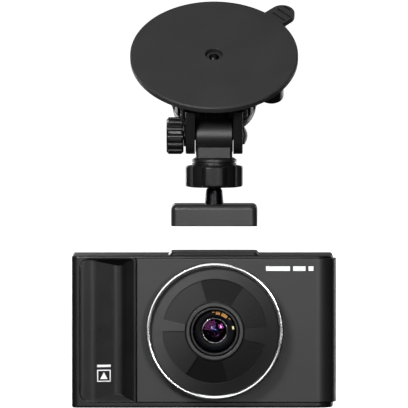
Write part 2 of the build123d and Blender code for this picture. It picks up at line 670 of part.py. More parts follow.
# scooped finger recess in the grip: depth profile across the grip, with sloped end walls
scoop_pts = [(-43.9, 0.05), (-43.6, 0.2), (-40.2, 0.47), (-36.9, 1.19), (-33.6, 2.02), (-31.1, 2.49), (-29.8, 2.2),
             (-28.6, 1.37), (-27.3, 0.65), (-26.5, 0.18), (-26.1, 0.0)]
with BuildPart() as grip_scoop:
    with BuildSketch(level(fascia_z0 - 1)):
        with BuildLine():
            Spline(*[(px, 8.85 + dz) for px, dz in scoop_pts])
            Polyline((-26.1, 8.85), (-26.1, 7.0), (-43.9, 7.0), (-43.9, 8.9))
        make_face()
    extrude(amount=fascia_z1 - fascia_z0 + 2)
    with BuildSketch(left_plane(-46)):
        with BuildLine():
            zt, zb = fascia_z1 - 0.15, fascia_z0 + 0.15
            Polyline((6.5, zt + 2.1), (8.85, zt), (11.85, zt - 2.7), (11.85, zb + 2.7), (8.85, zb), (6.5, zb - 2.1), close=True)
        make_face()
    extrude(amount=22, mode=Mode.INTERSECT)

with BuildPart() as grip_panel:
    with BuildSketch(front_plane(12.6)):
        with BuildLine():
            pz0, pz1 = fascia_z0, fascia_z1
            px0, px1 = grip_x0 + 0.1, seam_x - 0.1
            pk = grip_corner - 0.1
            Polyline((px1, pz0), (px1, pz1), (px0 + pk, pz1))
            ThreePointArc((px0 + pk, pz1), (px0 + pk * (1 - sqrt(0.5)), pz1 - pk * (1 - sqrt(0.5))), (px0, pz1 - pk))
            Line((px0, pz1 - pk), (px0, pz0 + pk))
            ThreePointArc((px0, pz0 + pk), (px0 + pk * (1 - sqrt(0.5)), pz0 + pk * (1 - sqrt(0.5))), (px0 + pk, pz0))
            Line((px0 + pk, pz0), (px1, pz0))
        make_face()
    extrude(amount=12.6 - 8.75)
    fillet(grip_panel.edges().group_by(Axis.Y)[0], 0.25)
    add(grip_scoop.part, mode=Mode.SUBTRACT)

with BuildPart() as rear_shell:
    with BuildSketch(front_plane(rear_y)):
        with Locations((case_cx, case_cz)):
            RectangleRounded(case_w, case_h, 0.7)
    extrude(amount=rear_y - split_y)
    fillet(rear_shell.edges().group_by(Axis.Y)[-1], 0.65)
    # bed of the screen window and the opening behind it
    with BuildSketch(front_plane(rear_y + 0.5)):
        with Locations((1.0, -90.85)):
            RectangleRounded(70.4, 39.9, 1.2)
    extrude(amount=1.6, mode=Mode.SUBTRACT)
    with BuildSketch(front_plane(rear_y)):
        with Locations((0.5, -90.85)):
            Rectangle(67.0, 37.2)
    extrude(amount=rear_y - split_y, mode=Mode.SUBTRACT)
    with BuildSketch(front_plane(rear_y + 0.5)):
        with Locations(*[(key_x, kz) for kz in key_zs.values()]):
            RectangleRounded(6.7, 5.5, 1.25)
    extrude(amount=4, mode=Mode.SUBTRACT)
    with BuildSketch(front_plane(rear_y + 0.5)):
        with Locations(*case_screw_xz):
            Circle(0.9)
    extrude(amount=4, mode=Mode.SUBTRACT)
    with BuildSketch(front_plane(rear_y + 0.5)):
        with Locations(*case_screw_xz):
            Circle(1.85)
    extrude(amount=1.9, mode=Mode.SUBTRACT)

with BuildPart() as dock_plate:
    with BuildSketch(level(cam_z1)):
        with Locations((0, arm_y)):
            RectangleRounded(29.6, 20.1, 2.3)
    extrude(amount=boss_h, taper=42)
    with BuildSketch(level(cam_z1)):
        with Locations((-8, arm_y), (8, arm_y)):
            Circle(3.9)
    extrude(amount=-2.6)
    with BuildSketch(level(cam_z1 - 2.6)):
        with Locations((-8, arm_y), (8, arm_y)):
            Circle(3.25)
    extrude(amount=2.2, mode=Mode.SUBTRACT)

with BuildPart() as dock_magnets:
    with BuildSketch(level(cam_z1 - 2.4)):
        with Locations((-8, arm_y), (8, arm_y)):
            Circle(3.2)
    extrude(amount=2.0)
    chamfer(dock_magnets.edges().filter_by(GeomType.CIRCLE), 0.15)

# ================================================================ lens group
with BuildPart() as lens_turret:
    with BuildSketch(lens_section):
        with BuildLine():
            Polyline(
                (20.85, turret_y), (turret_r, turret_y), (turret_r, fascia_y + fascia_t), (19.9, fascia_y + fascia_t),
                (19.9, 12.8), (18.4, 12.8), (18.4, 9.8), (8.3, 9.8), (8.3, 8.6), (20.85, 8.6), (20.85, turret_y),
            )
        make_face()
    revolve(axis=lens_axis)

with BuildPart() as chrome_ring:
    with BuildSketch(lens_section):
        with BuildLine():
            Polyline((chrome_out, 2.72), (chrome_out, turret_y), (chrome_in, turret_y), (chrome_in, 2.45), (chrome_in + 0.3, 2.15))
            ThreePointArc((chrome_in + 0.3, 2.15), (21.57, 2.1), (chrome_out - 0.36, 2.15))
            ThreePointArc((chrome_out - 0.36, 2.15), (chrome_out - 0.11, 2.38), (chrome_out, 2.72))
        make_face()
    revolve(axis=lens_axis)

# pinwheel of eight recessed and raised fields between the outer annulus and the collar;
# angle clockwise from the top seen from the lens side, and how far each field is sunk
fields = [(-16.0, 33.5, 0.55), (33.5, 85.5, 0.35), (105.0, 165.8, 0.45), (165.8, 212.7, 0.65),
          (212.7, 270.0, 0.3), (282.2, 344.0, 0.35)]
with BuildPart() as lens_dish:
    with BuildSketch(lens_section):
        with BuildLine():
            Polyline(
                (20.8, dish_y_out), (dish_mid_r, dish_y_mid), (dish_in_r, dish_y_in), (dish_in_r, 8.6),
                (11.2, 8.6), (11.2, 5.2), (19.3, 5.6), (19.3, 8.6), (20.8, 8.6), (20.8, dish_y_out),
            )
        make_face()
    revolve(axis=lens_axis)
    for a0, a1, sink in fields:
        start = Plane(
            origin=(lens_x, datum.Y, lens_z + datum.Z), x_dir=(sin(radians(a0)), 0, cos(radians(a0))),
            z_dir=Vector(sin(radians(a0)), 0, cos(radians(a0))).cross(Vector(0, 1, 0)),
        )
        with BuildSketch(start):
            with BuildLine():
                Polyline(
                    (dish_mid_r, 2.5), (dish_mid_r, dish_y_mid + sink * 0.75), (dish_in_r - 0.5, dish_y_in - 0.04 + sink),
                    (dish_in_r - 0.5, 2.5), close=True,
                )
            make_face()
        revolve(axis=lens_axis, revolution_arc=a1 - a0, mode=Mode.SUBTRACT)

with BuildPart() as lens_collar:
    with BuildSketch(lens_section):
        with BuildLine():
            Polyline((8.05, 3.1), (8.25, 2.85), (9.1, 2.85), (9.6, 3.4), (9.6, 8.6), (8.05, 8.6), (8.05, 3.1))
        make_face()
    revolve(axis=lens_axis)

with BuildPart() as lens_barrel:
    with BuildSketch(lens_section):
        with BuildLine():
            Polyline(
                (6.95, 3.5), (7.15, barrel_front_y), (7.6, barrel_front_y), (lens_barrel_r, 3.3), (lens_barrel_r, 19.4),
                (4.6, 19.4), (4.6, 15.0), (5.6, 15.0), (5.6, 9.4), (6.3, 9.4), (6.3, 9.0), (6.95, 9.0), (6.95, 3.5),
            )
        make_face()
    revolve(axis=lens_axis)

with BuildPart() as front_lens:
    with BuildSketch(lens_section):
        with BuildLine():
            ThreePointArc((0, 4.75), on_dome(4.75, glass_r, 6.2, 3.6), (glass_r, 6.2))
            Polyline((glass_r, 6.2), (glass_r, 9.0), (4.1, 9.0))
            ThreePointArc((4.1, 9.0), on_dome(6.9, 4.1, 9.0, 2.2), (0, 6.9))
            Line((0, 6.9), (0, 4.75))
        make_face()
    revolve(axis=lens_axis)

with BuildPart() as second_lens:
    with BuildSketch(lens_section):
        with BuildLine():
            ThreePointArc((0, 9.7), on_dome(9.7, 5.5, 10.8, 2.8), (5.5, 10.8))
            Line((5.5, 10.8), (5.5, 11.8))
            ThreePointArc((5.5, 11.8), on_dome(12.8, 5.5, 11.8, 2.8), (0, 12.8))
            Line((0, 12.8), (0, 9.7))
        make_face()
    revolve(axis=lens_axis)

with BuildPart() as rear_lens:
    with BuildSketch(lens_section):
        with BuildLine():
            ThreePointArc((0, 15.1), on_dome(15.1, 4.5, 16.2, 2.3), (4.5, 16.2))
            Polyline((4.5, 16.2), (4.5, 17.6), (0, 17.6), (0, 15.1))
        make_face()
    revolve(axis=lens_axis)

with BuildPart() as ir_filter:
    with BuildSketch(lens_plane(18.9)):
        Rectangle(6.0, 6.0)
    extrude(amount=0.45)
    chamfer(ir_filter.edges().filter_by(Axis.Y), 0.3)

with BuildPart() as lens_holder:
    with BuildSketch(lens_section):
        with BuildLine():
            Polyline(
                (7.85, 9.8), (12.0, 9.8), (12.0, 11.0), (9.4, 11.0), (9.4, 17.5), (7.85, 17.5), close=True
            )
        make_face()
    revolve(axis=lens_axis)
    with BuildSketch(lens_plane(21.0)):
        RectangleRounded(19.0, 19.0, 1.5)
        Circle(7.85, mode=Mode.SUBTRACT)
    extrude(amount=4.0)

with BuildPart() as image_sensor:
    with BuildSketch(lens_plane(21.0)):
        Rectangle(7.6, 6.4)
    extrude(amount=0.9)
    with BuildSketch(lens_plane(20.1)):
        Rectangle(5.6, 4.2)
    extrude(amount=0.12)

with BuildPart() as sensor_board:
    with BuildSketch(lens_plane(21.8)):
        RectangleRounded(19.0, 19.0, 1.0)
    extrude(amount=0.8)

with BuildPart() as board_connector:
    with BuildSketch(lens_plane(board_y0)):
        with Locations((0, 5.0)):
            Rectangle(12.0, 3.2)
    extrude(amount=board_y0 - 21.8)
    chamfer(board_connector.edges().filter_by(Axis.Y), 0.3)

# ================================================================ electronics
with BuildPart() as main_board:
    with BuildSketch(front_plane(board_y1)):
        with Locations((-3.8, -91.7)):
            RectangleRounded(81.0, 43.4, 0.8)
        with Locations(*case_screw_xz):
            Circle(2.3, mode=Mode.SUBTRACT)
        with Locations(*board_screw_xz):
            Circle(0.9, mode=Mode.SUBTRACT)
    extrude(amount=board_y1 - board_y0)

with BuildPart() as processor:
    with BuildSketch(front_plane(27.0)):
        with Locations((6.0, -90.0)):
            Rectangle(13.0, 13.0)
    extrude(amount=1.2)
    chamfer(processor.edges().filter_by(Axis.Y), 0.4)

with BuildPart() as heat_spreader:
    with BuildSketch(front_plane(27.5)):
        with Locations((6.0, -90.0)):
            RectangleRounded(34.0, 24.0, 1.5)
    extrude(amount=0.5)

with BuildPart() as battery:
    with BuildSketch(front_plane(20.6)):
        with Locations((-34.1, -91.0)):
            RectangleRounded(19.4, 32.0, 1.0)
    extrude(amount=5.6)
    fillet(battery.edges().filter_by(Axis.Z), 1.2)

with BuildPart() as speaker:
    with BuildSketch(level(cam_z0 + wall)):
        with Locations((12.5, 19.0)):
            RectangleRounded(15.0, 10.0, 1.2)
    extrude(amount=3.4)
    with BuildSketch(level(cam_z0 + wall)):
        with Locations((12.5, 19.0)):
            RectangleRounded(12.4, 7.4, 2.0)
    extrude(amount=0.7, mode=Mode.SUBTRACT)

with BuildPart() as microphone:
    with BuildSketch(level(cam_z0 + wall)):
        with Locations((-12.0, 19.0)):
            Circle(2.0)
    extrude(amount=1.5)
    chamfer(microphone.edges().group_by(Axis.Z)[-1], 0.25)

with BuildPart() as card_socket:
    with BuildSketch(front_plane(board_y0)):
        with Locations((-37.0, -90.0)):
            Rectangle(14.6, 14.0)
    extrude(amount=2.3)
    with BuildSketch(front_plane(23.95)):
        with Locations((-37.45, -90.0)):
            Rectangle(13.8, 11.4)
    extrude(amount=1.1, mode=Mode.SUBTRACT)
    with BuildSketch(front_plane(22.9)):
        with Locations((-39.0, -90.0)):
            Rectangle(6.0, 6.0)
    extrude(amount=1.0, mode=Mode.SUBTRACT)

with BuildPart() as memory_card:
    # 15 x 11 mm card with its notched shoulder and thicker finger edge
    with BuildSketch(front_plane(23.75)):
        with BuildLine():
            Polyline(
                (-46.15, -95.5), (-31.2, -95.5), (-31.2, -87.1), (-34.6, -85.2), (-37.6, -85.2), (-37.6, -84.5), (-46.15, -84.5),
                close=True,
            )
        make_face()
    extrude(amount=0.7)
    with BuildSketch(front_plane(23.9)):
        with Locations((-45.8, -90.0)):
            Rectangle(0.7, 10.6)
    extrude(amount=0.15)

with BuildPart() as usb_socket:
    with BuildSketch(left_plane(31.4)):
        with Locations((23.2, -80.0)):
            RectangleRounded(2.8, 7.6, 0.5)
    extrude(amount=6.9)
    with BuildSketch(left_plane(38.3)):
        with Locations((23.2, -80.0)):
            RectangleRounded(2.1, 6.9, 0.35)
    extrude(amount=-5.4, mode=Mode.SUBTRACT)
    with BuildSketch(left_plane(32.9)):
        with Locations((23.45, -80.0)):
            Rectangle(0.6, 4.6)
    extrude(amount=4.6)

with BuildPart() as key_switches:
    with BuildSketch(front_plane(28.2)):
        with Locations(*[(key_x, kz) for kz in key_zs.values()]):
            RectangleRounded(5.2, 5.2, 0.5)
    extrude(amount=28.2 - board_y1)
    with BuildSketch(front_plane(28.9)):
        with Locations(*[(key_x, kz) for kz in key_zs.values()]):
            Circle(1.2)
    extrude(amount=0.7)

with BuildPart() as lcd_panel:
    with BuildSketch(front_plane(30.6)):
        with Locations((0.5, -90.85)):
            RectangleRounded(69.0, 39.4, 0.6)
    extrude(amount=2.6)
    with BuildSketch(front_plane(31.2)):
        with Locations((0.5, -90.85)):
            Rectangle(66.4, 36.8)
    extrude(amount=0.6)

with BuildPart() as lcd_window:
    with BuildSketch(front_plane(33.5)):
        with Locations((1.0, -90.85)):
            RectangleRounded(70.2, 39.7, 1.1)
    extrude(amount=1.0)
    chamfer(lcd_window.edges().group_by(Axis.Y)[-1], 0.15)

with BuildPart() as case_screws:
    with BuildSketch(front_plane(33.35)):
        with Locations(*case_screw_xz):
            Circle(1.7)
    extrude(amount=33.35 - 32.2)
    chamfer(case_screws.edges().group_by(Axis.Y)[-1], 0.25)
    with BuildSketch(front_plane(32.2)):
        with Locations(*case_screw_xz):
            Circle(0.8)
    extrude(amount=8.8)
    with BuildSketch(front_plane(33.35)):
        with Locations(*case_screw_xz):
            Rectangle(1.9, 0.4)
            Rectangle(0.4, 1.9)
    extrude(amount=0.6, mode=Mode.SUBTRACT)

with BuildPart() as board_screws:
    with BuildSketch(front_plane(board_y1 + 0.9)):
        with Locations(*board_screw_xz):
            Circle(1.5)
    extrude(amount=0.9)
    with BuildSketch(front_plane(board_y1)):
        with Locations(*board_screw_xz):
            Circle(0.65)
    extrude(amount=5.2)

# ---------------------------------------------------------------- rear keys
keys = {}
for key_name, key_z in key_zs.items():
    with BuildPart() as key:
        with BuildSketch(front_plane(34.2)):
            with Locations((key_x, key_z)):
                RectangleRounded(6.4, 5.2, 1.1)
        extrude(amount=34.2 - 30.9)
        fillet(key.edges().group_by(Axis.Y)[-1], 0.35)
        with BuildSketch(front_plane(30.9)):
            with Locations((key_x, key_z)):
                RectangleRounded(7.5, 6.3, 1.2)
        extrude(amount=0.7)
        with BuildSketch(front_plane(30.2)):
            with Locations((key_x, key_z)):
                Circle(1.1)
        extrude(amount=0.8)
    keys[key_name] = key

# ---------------------------------------------------------------- labels and files
finished = {
    "suction_pad": suction_pad, "cup_housing": cup_housing, "pull_stem": pull_stem, "cross_pin": cross_pin,
    "return_spring": return_spring, "lock_ring": lock_ring, "end_cap": end_cap,
    "housing_screws": housing_screws, "pivot_bolt": pivot_bolt, "pivot_washer": pivot_washer,
    "tilt_knob": tilt_knob, "knob_insert": knob_insert, "swing_arm": swing_arm, "ring_nut": ring_nut,
    "ball_cup": ball_cup, "ball_liner": ball_liner, "ball_stud": ball_stud, "foot_shell": foot_shell,
    "foot_base_plate": foot_base_plate, "foot_magnets": foot_magnets, "stud_screw": stud_screw,
    "front_shell": front_shell, "front_fascia": front_fascia, "grip_panel": grip_panel, "rear_shell": rear_shell,
    "dock_plate": dock_plate, "dock_magnets": dock_magnets, "lens_turret": lens_turret, "chrome_ring": chrome_ring,
    "lens_dish": lens_dish, "lens_collar": lens_collar, "lens_barrel": lens_barrel, "front_lens": front_lens,
    "second_lens": second_lens, "rear_lens": rear_lens, "ir_filter": ir_filter, "lens_holder": lens_holder,
    "image_sensor": image_sensor, "sensor_board": sensor_board, "board_connector": board_connector,
    "main_board": main_board, "processor": processor, "heat_spreader": heat_spreader, "battery": battery,
    "speaker": speaker, "microphone": microphone, "card_socket": card_socket, "memory_card": memory_card,
    "usb_socket": usb_socket, "key_switches": key_switches, "lcd_panel": lcd_panel, "lcd_window": lcd_window,
    "case_screws": case_screws, "board_screws": board_screws,
}
finished.update(keys)
for node, piece in finished.items():
    piece.part.label = node
    export_step(piece.part, f"parts/{node}.step")
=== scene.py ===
import json
import math
import random

import bpy
from mathutils import Matrix, Vector
from mathutils.bvhtree import BVHTree


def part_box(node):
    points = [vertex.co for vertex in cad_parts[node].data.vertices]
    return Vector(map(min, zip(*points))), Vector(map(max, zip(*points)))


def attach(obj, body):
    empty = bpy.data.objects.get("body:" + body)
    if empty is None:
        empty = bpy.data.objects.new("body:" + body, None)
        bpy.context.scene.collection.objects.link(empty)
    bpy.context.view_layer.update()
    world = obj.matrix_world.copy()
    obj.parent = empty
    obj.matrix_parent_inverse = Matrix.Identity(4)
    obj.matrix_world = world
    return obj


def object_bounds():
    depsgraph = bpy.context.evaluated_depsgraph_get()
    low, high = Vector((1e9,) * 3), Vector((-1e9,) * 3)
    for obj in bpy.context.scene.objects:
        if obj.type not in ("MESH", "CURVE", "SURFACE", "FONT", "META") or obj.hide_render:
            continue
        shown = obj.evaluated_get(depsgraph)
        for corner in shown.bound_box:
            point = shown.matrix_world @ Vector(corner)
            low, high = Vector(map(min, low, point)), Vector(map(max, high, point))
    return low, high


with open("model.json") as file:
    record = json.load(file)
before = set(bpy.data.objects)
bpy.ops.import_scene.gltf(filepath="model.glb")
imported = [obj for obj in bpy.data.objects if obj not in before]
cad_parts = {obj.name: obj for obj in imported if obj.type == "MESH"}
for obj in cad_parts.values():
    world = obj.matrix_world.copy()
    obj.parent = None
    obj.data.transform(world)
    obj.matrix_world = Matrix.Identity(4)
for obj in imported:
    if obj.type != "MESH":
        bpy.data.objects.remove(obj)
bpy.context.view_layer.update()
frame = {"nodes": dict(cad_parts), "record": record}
nodes = frame["nodes"]
random.seed(7)
scene = bpy.context.scene
scene.view_settings.view_transform = "Standard"
scene.view_settings.look = "None"
scene.view_settings.exposure = 0.0
scene.view_settings.gamma = 1.0

MM = 0.001
LX, LZ = 0.15 * MM, -89.2 * MM          # lens axis
DY = -27.12                             # the front of the camera body, mm


# ------------------------------------------------------------------ material kit
def new_mat(name):
    m = bpy.data.materials.new(name)
    m.use_nodes = True
    nt = m.node_tree
    nt.nodes.clear()
    out = nt.nodes.new("ShaderNodeOutputMaterial")
    bs = nt.nodes.new("ShaderNodeBsdfPrincipled")
    nt.links.new(bs.outputs["BSDF"], out.inputs["Surface"])
    return m, nt, bs


def obj_coords(nt):
    return nt.nodes.new("ShaderNodeTexCoord").outputs["Object"]


def noise(nt, scale, detail=3.0, rough=0.55, vec=None):
    n = nt.nodes.new("ShaderNodeTexNoise")
    n.inputs["Scale"].default_value = scale
    n.inputs["Detail"].default_value = detail
    n.inputs["Roughness"].default_value = rough
    nt.links.new(vec or obj_coords(nt), n.inputs["Vector"])
    return n.outputs["Fac"]


def ramp(nt, src, stops, interp="LINEAR"):
    r = nt.nodes.new("ShaderNodeValToRGB")
    r.color_ramp.interpolation = interp
    els = r.color_ramp.elements
    while len(els) > 1:
        els.remove(els[-1])
    els[0].position, els[0].color = stops[0][0], (*stops[0][1], 1)
    for pos, col in stops[1:]:
        e = els.new(pos)
        e.color = (*col, 1)
    nt.links.new(src, r.inputs["Fac"])
    return r.outputs["Color"]


def mathn(nt, op, a, b=None, c=None, clamp=False):
    n = nt.nodes.new("ShaderNodeMath")
    n.operation = op
    n.use_clamp = clamp
    for i, v in enumerate((a, b, c)):
        if v is None:
            continue
        if isinstance(v, (int, float)):
            n.inputs[i].default_value = v
        else:
            nt.links.new(v, n.inputs[i])
    return n.outputs[0]


def maprange(nt, src, a, b, c, d, smooth=False):
    n = nt.nodes.new("ShaderNodeMapRange")
    if smooth:
        n.interpolation_type = "SMOOTHSTEP"
    n.inputs["From Min"].default_value = a
    n.inputs["From Max"].default_value = b
    n.inputs["To Min"].default_value = c
    n.inputs["To Max"].default_value = d
    nt.links.new(src, n.inputs["Value"])
    return n.outputs["Result"]


def mixcol(nt, fac, a, b, mode="MIX"):
    n = nt.nodes.new("ShaderNodeMix")
    n.data_type = "RGBA"
    n.blend_type = mode
    for key, v in (("Factor", fac), ("A", a), ("B", b)):
        sock = [s for s in n.inputs if s.name == key and (s.type == "RGBA" if key != "Factor" else s.type == "VALUE")][0]
        if isinstance(v, (int, float)):
            sock.default_value = v
        elif isinstance(v, tuple):
            sock.default_value = (*v, 1)
        else:
            nt.links.new(v, sock)
    return [s for s in n.outputs if s.type == "RGBA"][0]


def edge_mask(nt, radius):
    """1 on sharp outside edges, 0 on the flats"""
    g = nt.nodes.new("ShaderNodeNewGeometry")
    b = nt.nodes.new("ShaderNodeBevel")
    b.samples = 4
    b.inputs["Radius"].default_value = radius
    d = nt.nodes.new("ShaderNodeVectorMath")
    d.operation = "DOT_PRODUCT"
    nt.links.new(g.outputs["Normal"], d.inputs[0])
    nt.links.new(b.outputs["Normal"], d.inputs[1])
    return maprange(nt, d.outputs["Value"], 0.995, 0.86, 0.0, 1.0), b.outputs["Normal"]


def plastic(name, base, rough, grain=3200.0, bump=0.12, wear=0.35, mottling=0.15, bevel=0.18, spec=0.5, coat=0.0, sheen=0.0, metallic=0.0, dist=0.00004):
    """moulded or painted surface: fine grain, a little unevenness in tone and gloss, softened and polished edges"""
    m, nt, bs = new_mat(name)
    co = obj_coords(nt)
    fine = noise(nt, grain, 2.0, 0.6, co)
    broad = noise(nt, 85.0, 3.0, 0.5, co)
    edge, bevel_n = edge_mask(nt, bevel * MM)
    lo = tuple(max(0.0, c * (1 - mottling)) for c in base)
    hi = tuple(min(1.0, c * (1 + mottling)) for c in base)
    tone = ramp(nt, broad, [(0.3, lo), (0.7, hi)])
    worn = tuple(min(1.0, c * 1.9 + 0.012) for c in base)
    col = mixcol(nt, mathn(nt, "MULTIPLY", edge, wear), tone, worn)
    # painted shade: the base colour darkens in narrow grooves and crevices found by ambient occlusion
    painted_groove_shade = nt.nodes.new("ShaderNodeAmbientOcclusion")
    painted_groove_shade.samples = 6
    painted_groove_shade.inputs["Distance"].default_value = 0.0012
    col = mixcol(nt, maprange(nt, painted_groove_shade.outputs["AO"], 0.45, 0.95, 0.0, 1.0), tuple(c * 0.12 for c in base), col)
    nt.links.new(col, bs.inputs["Base Color"])
    r = mathn(nt, "ADD", maprange(nt, fine, 0.3, 0.7, rough - 0.05, rough + 0.05), maprange(nt, broad, 0.3, 0.7, -0.03, 0.03))
    r = mathn(nt, "SUBTRACT", r, mathn(nt, "MULTIPLY", edge, 0.12 * wear), clamp=True)
    nt.links.new(r, bs.inputs["Roughness"])
    bs.inputs["Metallic"].default_value = metallic
    bs.inputs["Specular IOR Level"].default_value = spec
    bs.inputs["Coat Weight"].default_value = coat
    bs.inputs["Coat Roughness"].default_value = 0.08
    bs.inputs["Sheen Weight"].default_value = sheen
    bs.inputs["Sheen Roughness"].default_value = 0.5
    bp = nt.nodes.new("ShaderNodeBump")
    bp.inputs["Strength"].default_value = bump
    bp.inputs["Distance"].default_value = dist
    nt.links.new(fine, bp.inputs["Height"])
    nt.links.new(bevel_n, bp.inputs["Normal"])
    nt.links.new(bp.outputs["Normal"], bs.inputs["Normal"])
    return m


def metal(name, base, rough, brushed=0.0, axis=None, bevel=0.12, wear=0.3):
    """plated or turned metal: concentric or drawn brushing, faint smudges"""
    m, nt, bs = new_mat(name)
    co = obj_coords(nt)
    mp = nt.nodes.new("ShaderNodeMapping")
    nt.links.new(co, mp.inputs["Vector"])
    sc = {"X": (60, 3000, 3000), "Y": (3000, 60, 3000), "Z": (3000, 3000, 60)}.get(axis, (900, 900, 900))
    mp.inputs["Scale"].default_value = sc
    lines = noise(nt, 1.0, 2.0, 0.5, mp.outputs["Vector"])
    smudge = noise(nt, 160.0, 4.0, 0.6, co)
    edge, bevel_n = edge_mask(nt, bevel * MM)
    tone = ramp(nt, smudge, [(0.3, tuple(c * 0.9 for c in base)), (0.7, base)])
    col = mixcol(nt, mathn(nt, "MULTIPLY", edge, wear), tone, tuple(min(1.0, c * 1.2 + 0.03) for c in base))
    nt.links.new(col, bs.inputs["Base Color"])
    bs.inputs["Metallic"].default_value = 1.0
    r = mathn(nt, "ADD", maprange(nt, lines, 0.3, 0.7, rough, rough + 0.10 + brushed * 0.1), maprange(nt, smudge, 0.35, 0.75, 0.0, 0.06))
    nt.links.new(r, bs.inputs["Roughness"])
    bp = nt.nodes.new("ShaderNodeBump")
    bp.inputs["Strength"].default_value = 0.06 + brushed * 0.2
    bp.inputs["Distance"].default_value = 0.00002
    nt.links.new(lines, bp.inputs["Height"])
    nt.links.new(bevel_n, bp.inputs["Normal"])
    nt.links.new(bp.outputs["Normal"], bs.inputs["Normal"])
    return m


def glass(name, tint, film=0.0, film_ior=1.38, rough=0.0, ior=1.52):
    m, nt, bs = new_mat(name)
    co = obj_coords(nt)
    dust = noise(nt, 420.0, 5.0, 0.6, co)
    nt.links.new(ramp(nt, dust, [(0.45, tint), (0.8, tuple(min(1, c * 1.06) for c in tint))]), bs.inputs["Base Color"])
    nt.links.new(maprange(nt, dust, 0.5, 0.9, rough, rough + 0.03), bs.inputs["Roughness"])
    bs.inputs["Transmission Weight"].default_value = 1.0
    bs.inputs["IOR"].default_value = ior
    bs.inputs["Thin Film Thickness"].default_value = film
    bs.inputs["Thin Film IOR"].default_value = film_ior
    return m


M = {}
M["pad_rubber"] = plastic("pad_rubber", (0.0165, 0.0165, 0.0168), 0.60, grain=2600, bump=0.25, wear=0.2, spec=0.22, sheen=0.02)
M["mount_plastic"] = plastic("mount_plastic", (0.0060, 0.0060, 0.0063), 0.36, grain=3600, bump=0.22, wear=0.45, spec=0.45)
M["stem_metal"] = metal("stem_metal", (0.012, 0.012, 0.013), 0.28, axis="Z")
M["spring_steel"] = metal("spring_steel", (0.52, 0.52, 0.54), 0.25, 0.3)
M["bolt_steel"] = metal("bolt_steel", (0.06, 0.06, 0.065), 0.33, 0.2)
M["brass_insert"] = metal("brass_insert", (0.62, 0.45, 0.19), 0.28, 0.4, "X")
M["acetal"] = plastic("acetal", (0.05, 0.05, 0.052), 0.32, grain=2000, bump=0.08)
M["magnet"] = metal("magnet", (0.60, 0.60, 0.62), 0.18)
M["case_plastic"] = plastic("case_plastic", (0.0045, 0.0045, 0.0047), 0.33, grain=3800, bump=0.16, wear=0.5, spec=0.36, bevel=0.25)
M["grip_plastic"] = plastic("grip_plastic", (0.0035, 0.0035, 0.0036), 0.34, grain=4200, bump=0.12, wear=0.3, spec=0.26, bevel=0.45)
M["fascia_plastic"] = plastic("fascia_plastic", (0.0075, 0.0075, 0.0077), 0.42, grain=4200, bump=0.14, wear=0.4, spec=0.45, bevel=0.2)
M["lens_black"] = plastic("lens_black", (0.008, 0.008, 0.009), 0.34, grain=5200, bump=0.12, wear=0.35, metallic=0.25, bevel=0.12)
M["chip"] = plastic("chip", (0.022, 0.022, 0.023), 0.5, bump=0.2)
M["cell"] = plastic("cell", (0.14, 0.14, 0.155), 0.28, grain=900, bump=0.2, metallic=0.5)
M["speaker_frame"] = plastic("speaker_frame", (0.03, 0.03, 0.03), 0.5)
M["can_metal"] = metal("can_metal", (0.55, 0.55, 0.56), 0.25, 0.4, "X")
M["spreader"] = metal("spreader", (0.72, 0.72, 0.73), 0.3, 0.8, "X")
M["card_plastic"] = plastic("card_plastic", (0.02, 0.02, 0.022), 0.4)
M["key_plastic"] = plastic("key_plastic", (0.022, 0.022, 0.023), 0.28, grain=4600, bump=0.1, wear=0.6, coat=0.15)
M["window_plastic"] = plastic("window_plastic", (0.006, 0.006, 0.008), 0.06, grain=300, bump=0.01, wear=0.1, mottling=0.05, coat=0.6)
M["circuit_board"] = plastic("circuit_board", (0.01, 0.075, 0.035), 0.35, grain=1500, bump=0.3, mottling=0.35)
M["filter_glass"] = glass("filter_glass", (0.55, 0.85, 0.8), 300, 1.6)
M["coated_glass"] = glass("coated_glass", (0.86, 0.50, 0.92), 296.0, 1.33)
M["screen_stack"] = plastic("screen_stack", (0.012, 0.013, 0.018), 0.08, grain=300, bump=0.01, wear=0.0, coat=0.4)


def polar_fields(nt, co):
    """angle (0..1, clockwise from the top seen from the lens side) and radius in mm about the lens axis"""
    sx = nt.nodes.new("ShaderNodeSeparateXYZ")
    nt.links.new(co, sx.inputs[0])
    x = mathn(nt, "SUBTRACT", sx.outputs["X"], LX)
    z = mathn(nt, "SUBTRACT", sx.outputs["Z"], LZ)
    ang = mathn(nt, "DIVIDE", mathn(nt, "ARCTAN2", x, z), 2 * math.pi)
    ang = mathn(nt, "FRACT", mathn(nt, "ADD", ang, 1.0))
    rad = mathn(nt, "MULTIPLY", mathn(nt, "SQRT", mathn(nt, "ADD", mathn(nt, "MULTIPLY", x, x), mathn(nt, "MULTIPLY", z, z))), 1000.0)
    return ang, rad, x, z


